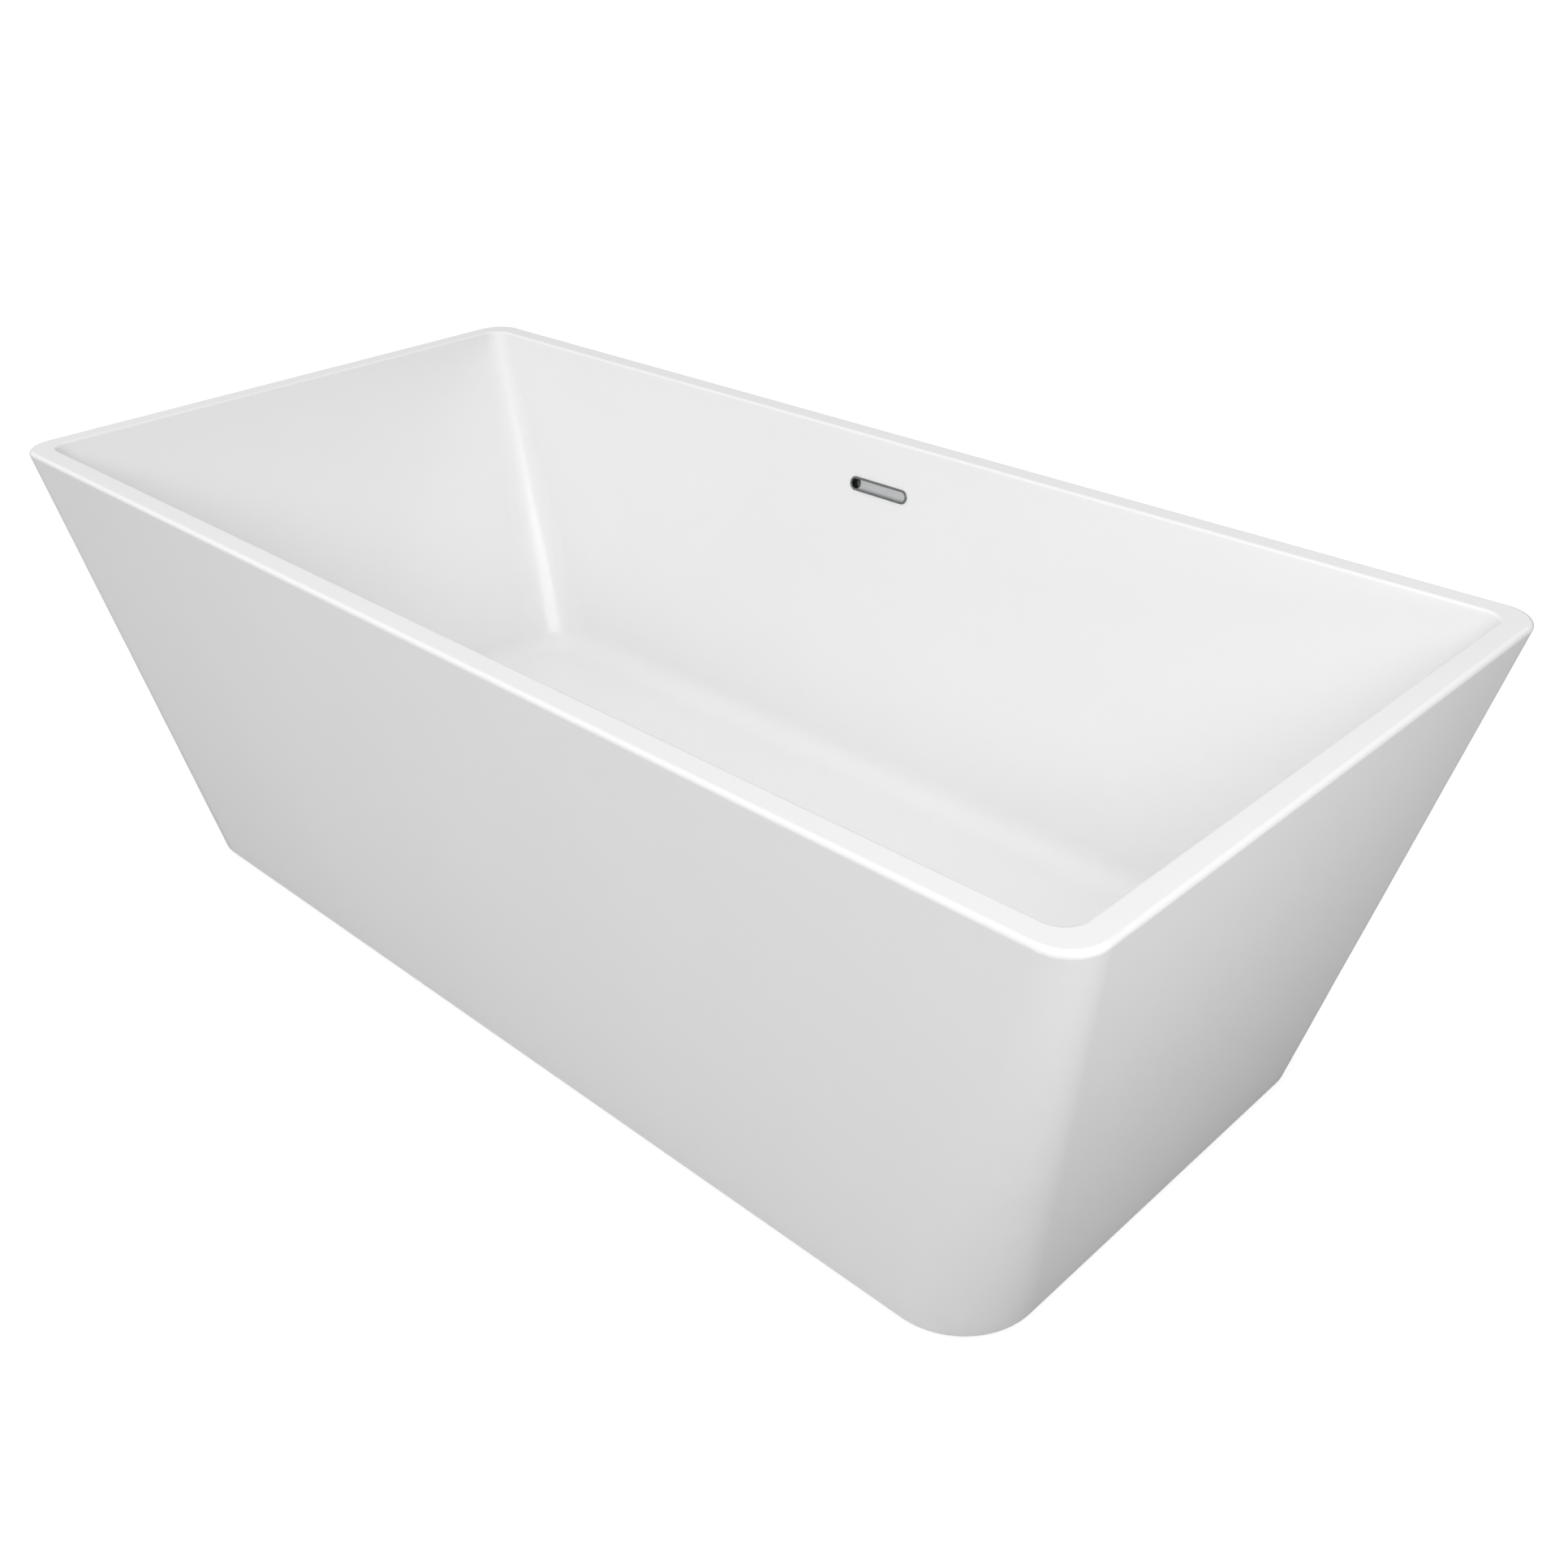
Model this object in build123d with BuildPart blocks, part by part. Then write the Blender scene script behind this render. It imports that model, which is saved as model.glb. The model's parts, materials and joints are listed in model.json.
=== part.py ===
from build123d import *
import math
import os

# Freestanding double-walled acrylic bathtub, flared from floor to rim, with a rim slot overflow.
# Millimetres, +Z up. The origin is on the floor under the middle of the tub, X runs along its
# length, and the overflow is in the +Y wall.

# Outer shell: every outline size changes evenly from the floor to the rim. Length and width are
# those of the sharp rim edge, and its rounding takes them down to 1700 by 800.
LENGTH = 1702.46
WIDTH = 801.38
HEIGHT = 580.0
BASE_LENGTH = 1443.0
BASE_WIDTH = 650.0
RIM_CORNER = 40.0
BASE_CORNER = 91.0
HEM_HEIGHT = 3.0
HEM_ROUND = 1.5

# Rim deck
DECK_WIDTH = 30.0
DECK_THICKNESS = 7.0
DECK_OUTER_ROUND = 5.0
DECK_INNER_ROUND = 4.0
SEAM_HEIGHT = HEIGHT - DECK_THICKNESS

# Basin inside
BASIN_DEPTH = 440.0
FLOOR_LENGTH = 1210.0
FLOOR_WIDTH = 556.0
INNER_CORNER = 24.0
FLOOR_CORNER = 74.0
FLOOR_FILLET = 40.0
FLOOR_HEIGHT = HEIGHT - BASIN_DEPTH

# Sheet and laminate thicknesses
ACRYLIC = 5.0
BASIN_LAMINATE = 3.0
SKIRT_LAMINATE = 2.5
LAMINATE_TOP = 562.0
SKIRT_LAMINATE_BOTTOM = 12.0
BEAD_WIDTH = 8.0

# Base board and steel frame
UNDERSIDE = FLOOR_HEIGHT - ACRYLIC - BASIN_LAMINATE
BOARD_LENGTH = 1100.0
BOARD_WIDTH = 440.0
BOARD_THICKNESS = 15.0
BOARD_CORNER = 40.0
BOARD_DRAIN_HOLE = 50.0
BOARD_BOTTOM = UNDERSIDE - BOARD_THICKNESS
TUBE = 30.0
TUBE_WALL = 2.0
TUBE_CORNER = 3.0
TUBE_INNER_CORNER = 1.0
RAIL_LENGTH = 1080.0
RAIL_Y = 170.0
CROSS_BAR_X = (-525.0, -150.0, 150.0, 525.0)
FRAME_TOP = BOARD_BOTTOM
FRAME_BOTTOM = FRAME_TOP - TUBE
END_CAP_FACE = 2.0
END_CAP_PLUG = 10.0

# Screws: the frame screws go up into the board, the bracket screws down into the battens
FRAME_SCREW_X = (-330.0, -90.0, 90.0, 330.0)
FRAME_SCREW_RADIUS = 2.4
FRAME_SCREW_BITE = 10.0
FRAME_HEAD_RADIUS = 5.0
FRAME_HEAD_HEIGHT = 3.0
BRACKET_SCREW_RADIUS = 2.0
BRACKET_SCREW_LENGTH = 22.0
BRACKET_HEAD_RADIUS = 4.5
BRACKET_HEAD_HEIGHT = 2.6
HEAD_ROUND = 1.1
DRIVE_SLOT = 1.0
PILOT_EXTRA = 1.0

# Hem battens and the brackets that tie them to the frame
BATTEN_HEIGHT = 30.0
BATTEN_THICKNESS = 18.0
LONG_BATTEN_LENGTH = 1200.0
END_BATTEN_LENGTH = 420.0
BRACKET_THICKNESS = 3.0
BRACKET_WIDTH = 36.0
BRACKET_UPSTAND = 25.0
BRACKET_EDGE = 7.0
SIDE_BRACKET_X = (-450.0, 0.0, 450.0)
END_BRACKET_Y = (-100.0, 100.0)

# Levelling feet
FOOT_X = 430.0
STUD_RADIUS = 6.0
STUD_TOP = 104.0
STUD_BOTTOM = 5.2
STUD_CHAMFER = 0.8
STUD_HOLE_PLAY = 0.5
COLLAR_BOTTOM = 15.2
COLLAR_HEIGHT = 6.0
NUT_FLATS = 19.0
NUT_CHAMFER = 0.6
WELD_NUT_HEIGHT = 10.0
LOCK_NUT_HEIGHT = 7.0
PAD_RADIUS = 25.0
PAD_THICKNESS = 7.0
PAD_ROUND = 3.0
PAD_CHAMFER = 0.8
PAD_HUB_RADIUS = 11.0
PAD_HUB_TOP = 15.0
PAD_HUB_ROUND = 1.0

# Overflow in the +Y wall, a little to the -X side of the middle
OVERFLOW_X = -2.5
OVERFLOW_HEIGHT = 515.5
TRIM_LENGTH = 98.0
TRIM_WIDTH = 18.8
TRIM_PROUD = 1.3
TRIM_ROUND = 0.9
MOUTH_ROUND = 0.35
SLEEVE_LENGTH = 94.6
SLEEVE_WIDTH = 15.8
SLEEVE_DEPTH = 10.0
SLEEVE_PLAY = 0.4
MOUTH_LENGTH = 91.4
MOUTH_WIDTH = 12.6
TRAY_DEPTH = 3.0
TRAY_THICKNESS = 1.5
OUTLET_OFFSET = -39.4
OUTLET_X = OVERFLOW_X + OUTLET_OFFSET
GASKET_PLAY = 1.0
HOUSING_LENGTH = 106.0
HOUSING_WIDTH = 27.0
HOUSING_FRONT = 9.4
HOUSING_BACK = 22.5
HOUSING_WALL = 2.5
HOUSING_ROUND = 2.0
SPIGOT_RADIUS = 6.95
SPIGOT_BORE = 5.4
SPIGOT_LENGTH = 50.0
SPIGOT_ROOT = 4.0
SPIGOT_SHIFT = 0.9

# Overflow hose
HOSE_RADIUS = 9.0
HOSE_BORE = 7.0
HOSE_TOP = 466.0
HOSE_LOW_Y = 314.0
HOSE_LOW_Z = 130.0
PORT_HEIGHT = 66.0
HOSE_BEND = 75.0
HOSE_END_Y = 40.0
HOSE_KINK_Y = 130.0
HOSE_KINK_BEND = 280.0
CLAMP_WIDTH = 9.0
CLAMP_BAND = 0.9
CLAMP_GAP = 0.02
CLAMP_BOX_WIDTH = 6.6
CLAMP_BOX_LENGTH = 12.0
CLAMP_BOX_ROUND = 1.5
CLAMP_BOX_OUT = 3.0
CLAMP_BOX_OVERHANG = 0.5
CLAMP_SCREW_RADIUS = 2.8
CLAMP_SCREW_HEAD = 3.0
UPPER_CLAMP_START = 4.0
LOWER_CLAMP_START = 5.0

# Drain in the middle of the floor
FLANGE_RADIUS = 35.0
FLANGE_THICKNESS = 2.4
FLANGE_EDGE = 0.8
FLANGE_BEVEL = 2.5
FLANGE_GASKET = 1.0
BARREL_RADIUS = 21.5
BARREL_BORE = 19.0
BARREL_BOTTOM = 92.0
DRAIN_HOLE = 22.2
SEAT_RADIUS = 29.0
SEAT_DEPTH = 1.6
THROAT_WIDTH = 2.0
THROAT_DEPTH = 3.0
SPIDER_ARM = 4.0
SPIDER_HUB_RADIUS = 7.0
SPIDER_BORE = 4.0
WASHER_THICKNESS = 3.0
BODY_FLANGE_RADIUS = 36.0
BODY_FLANGE = 4.0
BODY_RADIUS = 25.5
BODY_BORE = 21.6
BODY_FLOOR = 56.0
BODY_BEVEL = 3.0
BODY_LEDGE = 0.8
BODY_TAPER_TOP = BODY_FLOOR - 2
BODY_TAPER_BOTTOM = BODY_FLOOR - 6
BODY_CUP_BOTTOM = BODY_FLOOR + 4
BODY_THREAD_END = BARREL_BOTTOM - 1
PORT_ROOT = 2.0
PORT_OVERLAP = 22.0
OUTLET_RADIUS = 22.5
OUTLET_BOTTOM = 34.0
TAIL_RADIUS = 19.05
TAIL_BORE = 17.6
TAIL_NECK_STEP = 0.2
TAIL_BOTTOM = 8.0
TAIL_TOP = BODY_FLOOR - 0.5
SLIP_NUT_RADIUS = 28.0
SLIP_NUT_BOTTOM = 28.0
SLIP_NUT_TOP = 44.0
SLIP_NUT_FLOOR = 2.5
SLIP_NUT_CHAMFER = 1.2
SLIP_NUT_GROOVES = 20
GROOVE_RADIUS = 2.4
GROOVE_OUT = 1.2

# Click-clack stopper, closed
CAP_RADIUS = 32.0
CAP_BOTTOM = 144.2
CAP_EDGE = 1.6
CAP_DOME = 2.6
CAP_ROUND = 0.6
SEAL_OUTER = 28.0
SEAL_INNER = 23.0
SEAL_BEVEL = 1.0
STEM_RADIUS = 5.4
STEM_BOTTOM = 116.0
STEM_THREAD_RADIUS = 3.0
STEM_THREAD = 2.0
CARTRIDGE_RADIUS = 8.0
CARTRIDGE_BORE = 5.5
CARTRIDGE_FLOOR = 99.0
CARTRIDGE_BOTTOM = 96.0
CARTRIDGE_TOP = 134.0
CARTRIDGE_TAIL = 3.0
SPRING_RADIUS = 4.3
SPRING_WIRE = 0.55
SPRING_TURNS = 7
SPRING_PLAY = 0.1

# Clearance between pieces that fit together, and the cutters' start and length
PLAY = 0.05
CUT_LEAD = 10.0
CUT_LENGTH = 40.0


def save(piece, name):
    """Label one finished piece and write it to its own file."""
    piece.part.label = name
    export_step(piece.part, f"parts/{name}.step")


def shell_sizes(height):
    """Length, width and corner radius of the outer shell at one height."""
    share = height / HEIGHT
    length = BASE_LENGTH + (LENGTH - BASE_LENGTH) * share
    width = BASE_WIDTH + (WIDTH - BASE_WIDTH) * share
    corner = BASE_CORNER + (RIM_CORNER - BASE_CORNER) * share
    return length, width, corner


def shell_outline(height, inset=0.0):
    """Rounded rectangle of the outer shell at one height, moved in by the inset."""
    length, width, corner = shell_sizes(height)
    with BuildSketch(Plane.XY.offset(height)) as outline:
        RectangleRounded(length - 2 * inset, width - 2 * inset, corner - inset)
    return outline.sketch


def basin_sizes(height):
    """Length, width and corner radius of the bathing space at one height, without the fillet."""
    share = (HEIGHT - height) / BASIN_DEPTH
    rim_length = LENGTH - 2 * DECK_WIDTH
    rim_width = WIDTH - 2 * DECK_WIDTH
    length = rim_length + (FLOOR_LENGTH - rim_length) * share
    width = rim_width + (FLOOR_WIDTH - rim_width) * share
    corner = INNER_CORNER + (FLOOR_CORNER - INNER_CORNER) * share
    return length, width, corner


def basin_outline(height, growth=0.0):
    """Rounded rectangle of the bathing space at one height, moved out by the growth."""
    length, width, corner = basin_sizes(height)
    with BuildSketch(Plane.XY.offset(height)) as outline:
        RectangleRounded(length + 2 * growth, width + 2 * growth, corner + growth)
    return outline.sketch


def basin_block(growth, top):
    """Solid block with the shape of the bathing space, larger all round by the growth."""
    with BuildPart() as block:
        loft([basin_outline(FLOOR_HEIGHT - growth, growth), basin_outline(top, growth)], ruled=True)
        fillet(block.edges().group_by(Axis.Z)[0], FLOOR_FILLET + growth)
    return block.part


def wall_plane():
    """Plane on the bathing side of the +Y wall at the overflow: X along the tub, Y up the wall."""
    wall_y = basin_sizes(OVERFLOW_HEIGHT)[1] / 2
    slope = (basin_sizes(HEIGHT)[1] - FLOOR_WIDTH) / 2 / BASIN_DEPTH
    return Plane(origin=(OVERFLOW_X, wall_y, OVERFLOW_HEIGHT), x_dir=(1, 0, 0), z_dir=(0, -1, slope))


WALL = wall_plane()
WALL_AXIS = Axis(WALL.origin, WALL.z_dir)


def stadium(depth, length, width):
    """Round-ended slot outline, lying the given depth behind the +Y wall's bathing side."""
    with BuildSketch(WALL.offset(-depth)) as outline:
        SlotOverall(length, width)
    return outline.sketch


def drain_bore():
    """Upright cylinder that cuts the drain's hole through the floor."""
    with BuildPart(Plane.XY.offset(FLOOR_HEIGHT + CUT_LEAD), mode=Mode.PRIVATE) as bore:
        Cylinder(DRAIN_HOLE, CUT_LENGTH, align=(Align.CENTER, Align.CENTER, Align.MAX))
    return bore.part


def overflow_cutter(length, width):
    """Round-ended bar across the +Y wall at the overflow, from its bathing side to well behind."""
    with BuildPart(mode=Mode.PRIVATE) as cutter:
        extrude(stadium(-CUT_LEAD, length, width), amount=-CUT_LENGTH)
    return cutter.part


def sleeve_cutter():
    """Slot that the overflow's sleeve passes through."""
    return overflow_cutter(SLEEVE_LENGTH + SLEEVE_PLAY, SLEEVE_WIDTH + SLEEVE_PLAY)


# ---------------------------------------------------------------- shells


def make_basin():
    """Inner acrylic shell: rim deck, walls and floor in one sheet."""
    inside = basin_block(0, HEIGHT)
    outside = basin_block(ACRYLIC, SEAM_HEIGHT)
    slot = sleeve_cutter()
    with BuildPart() as basin:
        loft([shell_outline(SEAM_HEIGHT), shell_outline(HEIGHT)], ruled=True)
        fillet(basin.faces().sort_by(Axis.Z)[-1].edges(), DECK_OUTER_ROUND)
        add(outside)
        add(inside, mode=Mode.SUBTRACT)
        rim = basin.faces().filter_by(GeomType.PLANE).sort_by(Axis.Z)[-1]
        fillet(rim.inner_wires()[0].edges(), DECK_INNER_ROUND)
        add(drain_bore(), mode=Mode.SUBTRACT)
        add(slot, mode=Mode.SUBTRACT)
    save(basin, "basin")


def make_basin_reinforcement():
    """Glass-fibre laminate on the hidden side of the basin."""
    outside = basin_block(ACRYLIC + BASIN_LAMINATE, LAMINATE_TOP)
    inside = basin_block(ACRYLIC, LAMINATE_TOP)
    slot = sleeve_cutter()
    with BuildPart() as laminate:
        add(outside)
        add(inside, mode=Mode.SUBTRACT)
        add(drain_bore(), mode=Mode.SUBTRACT)
        add(slot, mode=Mode.SUBTRACT)
    save(laminate, "basin_reinforcement")


def make_skirt():
    """Outer acrylic shell, from just above the floor to the underside of the deck."""
    with BuildPart() as skirt:
        loft([shell_outline(HEM_HEIGHT), shell_outline(SEAM_HEIGHT)], ruled=True)
        fillet(skirt.faces().sort_by(Axis.Z)[0].edges(), HEM_ROUND)
        loft(
            [shell_outline(HEM_HEIGHT, ACRYLIC), shell_outline(SEAM_HEIGHT, ACRYLIC)],
            ruled=True,
            mode=Mode.SUBTRACT,
        )
    save(skirt, "outer_skirt")


def shell_ring(bottom, top, outer_inset, inner_inset):
    """Ring that follows the outer shell between two heights and two insets."""
    with BuildPart() as ring:
        loft([shell_outline(bottom, outer_inset), shell_outline(top, outer_inset)], ruled=True)
        loft(
            [shell_outline(bottom, inner_inset), shell_outline(top, inner_inset)],
            ruled=True,
            mode=Mode.SUBTRACT,
        )
    return ring


def make_skirt_linings():
    """Laminate on the skirt's inside, and the resin bead that bonds the skirt to the deck."""
    lining = shell_ring(SKIRT_LAMINATE_BOTTOM, LAMINATE_TOP, ACRYLIC, ACRYLIC + SKIRT_LAMINATE)
    save(lining, "skirt_reinforcement")
    bead = shell_ring(LAMINATE_TOP, SEAM_HEIGHT, ACRYLIC, ACRYLIC + BEAD_WIDTH)
    save(bead, "rim_bonding_bead")


# ---------------------------------------------------------------- base board and frame


def make_base_board():
    """Plywood board bonded under the floor, with the drain's hole and the screws' pilot holes."""
    with BuildPart() as board:
        with BuildSketch(Plane.XY.offset(BOARD_BOTTOM)):
            RectangleRounded(BOARD_LENGTH, BOARD_WIDTH, BOARD_CORNER)
            Circle(BOARD_DRAIN_HOLE, mode=Mode.SUBTRACT)
        extrude(amount=BOARD_THICKNESS)
        with BuildSketch(Plane.XY.offset(BOARD_BOTTOM)):
            with Locations(*frame_screw_places()):
                Circle(FRAME_SCREW_RADIUS + PLAY)
        extrude(amount=FRAME_SCREW_BITE + PILOT_EXTRA, mode=Mode.SUBTRACT)
    save(board, "base_board")


def frame_screw_places():
    """Plan positions of the screws that hold the rails to the board."""
    return [(x, y) for y in (-RAIL_Y, RAIL_Y) for x in FRAME_SCREW_X]


def tube_section():
    """Hollow square section of the frame's tube, added to the sketch it is called in."""
    inner = TUBE - 2 * TUBE_WALL
    RectangleRounded(TUBE, TUBE, TUBE_CORNER)
    RectangleRounded(inner, inner, TUBE_INNER_CORNER, mode=Mode.SUBTRACT)


def make_rail(side, name):
    """Long square tube with a stud hole at each foot and holes for its screws."""
    with BuildPart() as rail:
        with BuildSketch(Plane.YZ.offset(-RAIL_LENGTH / 2)):
            with Locations((side * RAIL_Y, FRAME_TOP - TUBE / 2)):
                tube_section()
        extrude(amount=RAIL_LENGTH)
        with BuildSketch(Plane.XY.offset(FRAME_BOTTOM)):
            with Locations((-FOOT_X, side * RAIL_Y), (FOOT_X, side * RAIL_Y)):
                Circle(STUD_RADIUS + STUD_HOLE_PLAY)
        extrude(amount=TUBE / 2, mode=Mode.SUBTRACT)
        with BuildSketch(Plane.XY.offset(FRAME_BOTTOM)):
            with Locations(*[(x, side * RAIL_Y) for x in FRAME_SCREW_X]):
                Circle(FRAME_SCREW_RADIUS + PLAY)
        extrude(amount=TUBE, mode=Mode.SUBTRACT)
    save(rail, name)


def make_cross_bars():
    """Short square tubes welded between the rails."""
    reach = RAIL_Y - TUBE / 2
    for number, x in enumerate(CROSS_BAR_X, start=1):
        with BuildPart() as bar:
            with BuildSketch(Plane.XZ.offset(-reach)):
                with Locations((x, FRAME_TOP - TUBE / 2)):
                    tube_section()
            extrude(amount=2 * reach)
        save(bar, f"frame_cross_bar_{number}")


def make_rail_end_caps():
    """Plastic plugs in the four open ends of the rails."""
    plug = TUBE - 2 * TUBE_WALL - 2 * PLAY
    middle = FRAME_TOP - TUBE / 2
    with BuildPart() as caps:
        for end in (-1, 1):
            with BuildSketch(Plane.YZ.offset(end * RAIL_LENGTH / 2)):
                with Locations((-RAIL_Y, middle), (RAIL_Y, middle)):
                    RectangleRounded(TUBE, TUBE, TUBE_CORNER)
            extrude(amount=end * END_CAP_FACE)
            with BuildSketch(Plane.YZ.offset(end * RAIL_LENGTH / 2)):
                with Locations((-RAIL_Y, middle), (RAIL_Y, middle)):
                    RectangleRounded(plug, plug, TUBE_INNER_CORNER)
            extrude(amount=-end * END_CAP_PLUG)
    save(caps, "rail_end_caps")


def screw_set(places, head_plane, radius, length, head_radius, head_height):
    """Cross-slot pan-head screws whose heads stand on the plane and whose shanks go behind it."""
    with BuildPart() as screws:
        with BuildSketch(head_plane):
            with Locations(*places):
                Circle(radius)
        extrude(amount=-length)
        with BuildSketch(head_plane):
            with Locations(*places):
                Circle(head_radius)
        extrude(amount=head_height)
        outward = Axis(head_plane.origin, head_plane.z_dir)
        fillet(screws.edges().filter_by(GeomType.CIRCLE).group_by(outward)[-1], HEAD_ROUND)
        with BuildSketch(head_plane.offset(head_height)):
            with Locations(*places):
                Rectangle(head_radius, DRIVE_SLOT)
                Rectangle(DRIVE_SLOT, head_radius)
        extrude(amount=-head_height / 2, mode=Mode.SUBTRACT)
    return screws


def make_frame_screws():
    """Screws up through the rails into the board."""
    below = Plane(origin=(0, 0, FRAME_BOTTOM), x_dir=(1, 0, 0), z_dir=(0, 0, -1))
    length = TUBE + FRAME_SCREW_BITE
    screws = screw_set(
        frame_screw_places(), below, FRAME_SCREW_RADIUS, length, FRAME_HEAD_RADIUS, FRAME_HEAD_HEIGHT
    )
    save(screws, "frame_screws")


# ---------------------------------------------------------------- hem battens and brackets


def lining_half_width(height):
    """Half of the width between the skirt's lined inner faces."""
    return shell_sizes(height)[1] / 2 - ACRYLIC - SKIRT_LAMINATE


def lining_half_length(height):
    """Half of the length between the skirt's lined inner faces."""
    return shell_sizes(height)[0] / 2 - ACRYLIC - SKIRT_LAMINATE


BATTEN_TOP = FRAME_BOTTOM
BATTEN_BOTTOM = BATTEN_TOP - BATTEN_HEIGHT
LONG_BATTEN_INSIDE = lining_half_width(BATTEN_BOTTOM) - BATTEN_THICKNESS
END_BATTEN_INSIDE = lining_half_length(BATTEN_BOTTOM) - BATTEN_THICKNESS
SIDE_SCREW_Y = LONG_BATTEN_INSIDE + BATTEN_THICKNESS / 2
END_SCREW_X = END_BATTEN_INSIDE + BATTEN_THICKNESS / 2
PILOT_DEPTH = BRACKET_SCREW_LENGTH - BRACKET_THICKNESS + PILOT_EXTRA


def batten_section(inside, bottom_reach, top_reach):
    """Section of a batten: upright inside face, outside face sloping with the skirt."""
    return [
        (inside, BATTEN_BOTTOM),
        (bottom_reach, BATTEN_BOTTOM),
        (top_reach, BATTEN_TOP),
        (inside, BATTEN_TOP),
    ]


def make_long_batten(side, name):
    """Plywood strip bonded inside the skirt along one long side."""
    section = batten_section(
        LONG_BATTEN_INSIDE, lining_half_width(BATTEN_BOTTOM), lining_half_width(BATTEN_TOP)
    )
    with BuildPart() as batten:
        with BuildSketch(Plane.YZ.offset(-LONG_BATTEN_LENGTH / 2)):
            Polygon(*[(side * y, z) for y, z in section], align=None)
        extrude(amount=LONG_BATTEN_LENGTH)
        with BuildSketch(Plane.XY.offset(BATTEN_TOP)):
            with Locations(*[(x, side * SIDE_SCREW_Y) for x in SIDE_BRACKET_X]):
                Circle(BRACKET_SCREW_RADIUS + PLAY)
        extrude(amount=-PILOT_DEPTH, mode=Mode.SUBTRACT)
    save(batten, name)


def make_end_batten(side, name):
    """Plywood strip bonded inside the skirt across one end."""
    section = batten_section(
        END_BATTEN_INSIDE, lining_half_length(BATTEN_BOTTOM), lining_half_length(BATTEN_TOP)
    )
    with BuildPart() as batten:
        with BuildSketch(Plane.XZ.offset(-END_BATTEN_LENGTH / 2)):
            Polygon(*[(side * x, z) for x, z in section], align=None)
        extrude(amount=END_BATTEN_LENGTH)
        with BuildSketch(Plane.XY.offset(BATTEN_TOP)):
            with Locations(*[(side * END_SCREW_X, y) for y in END_BRACKET_Y]):
                Circle(BRACKET_SCREW_RADIUS + PLAY)
        extrude(amount=-PILOT_DEPTH, mode=Mode.SUBTRACT)
    save(batten, name)


def bracket_section(root, reach):
    """Angle section: an upstand against the frame and a long leg out over the batten."""
    return [
        (root, BATTEN_TOP),
        (reach, BATTEN_TOP),
        (reach, BATTEN_TOP + BRACKET_THICKNESS),
        (root + BRACKET_THICKNESS, BATTEN_TOP + BRACKET_THICKNESS),
        (root + BRACKET_THICKNESS, BATTEN_TOP + BRACKET_UPSTAND),
        (root, BATTEN_TOP + BRACKET_UPSTAND),
    ]


def side_screw_places():
    """Plan positions of the screws into the long battens."""
    return [(x, y) for x in SIDE_BRACKET_X for y in (-SIDE_SCREW_Y, SIDE_SCREW_Y)]


def end_screw_places():
    """Plan positions of the screws into the end battens."""
    return [(x, y) for y in END_BRACKET_Y for x in (-END_SCREW_X, END_SCREW_X)]


def make_side_brackets():
    """Steel angles from the rails to the long battens, three on each side."""
    section = bracket_section(RAIL_Y + TUBE / 2, SIDE_SCREW_Y + BRACKET_EDGE)
    with BuildPart() as brackets:
        for x in SIDE_BRACKET_X:
            for side in (-1, 1):
                with BuildSketch(Plane.YZ.offset(x - BRACKET_WIDTH / 2)):
                    Polygon(*[(side * y, z) for y, z in section], align=None)
                extrude(amount=BRACKET_WIDTH)
        with BuildSketch(Plane.XY.offset(BATTEN_TOP)):
            with Locations(*side_screw_places()):
                Circle(BRACKET_SCREW_RADIUS + PLAY)
        extrude(amount=BRACKET_THICKNESS, mode=Mode.SUBTRACT)
    save(brackets, "side_brackets")


def make_end_brackets():
    """Steel angles from the end cross bars to the end battens, two at each end."""
    section = bracket_section(RAIL_LENGTH / 2, END_SCREW_X + BRACKET_EDGE)
    with BuildPart() as brackets:
        for y in END_BRACKET_Y:
            for side in (-1, 1):
                with BuildSketch(Plane.XZ.offset(-y - BRACKET_WIDTH / 2)):
                    Polygon(*[(side * x, z) for x, z in section], align=None)
                extrude(amount=BRACKET_WIDTH)
        with BuildSketch(Plane.XY.offset(BATTEN_TOP)):
            with Locations(*end_screw_places()):
                Circle(BRACKET_SCREW_RADIUS + PLAY)
        extrude(amount=BRACKET_THICKNESS, mode=Mode.SUBTRACT)
    save(brackets, "end_brackets")


def make_bracket_screws():
    """Screws down through the brackets into the battens."""
    above = Plane.XY.offset(BATTEN_TOP + BRACKET_THICKNESS)
    places = side_screw_places() + end_screw_places()
    length = BRACKET_SCREW_LENGTH
    screws = screw_set(
        places, above, BRACKET_SCREW_RADIUS, length, BRACKET_HEAD_RADIUS, BRACKET_HEAD_HEIGHT
    )
    save(screws, "bracket_screws")


# ---------------------------------------------------------------- levelling feet


def foot_places():
    """Plan positions of the four feet, counted from the front left."""
    return [(x, y) for y in (-RAIL_Y, RAIL_Y) for x in (-FOOT_X, FOOT_X)]


def make_foot_nuts(name, top, height):
    """One hexagon nut on each stud, as a group."""
    with BuildPart() as nuts:
        with BuildSketch(Plane.XY.offset(top - height)):
            with Locations(*foot_places()):
                RegularPolygon(NUT_FLATS / 2, 6, major_radius=False)
                Circle(STUD_RADIUS + PLAY, mode=Mode.SUBTRACT)
        extrude(amount=height)
        chamfer(nuts.faces().sort_by(Axis.Z)[0:4].edges().filter_by(GeomType.CIRCLE), NUT_CHAMFER)
    save(nuts, name)


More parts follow.
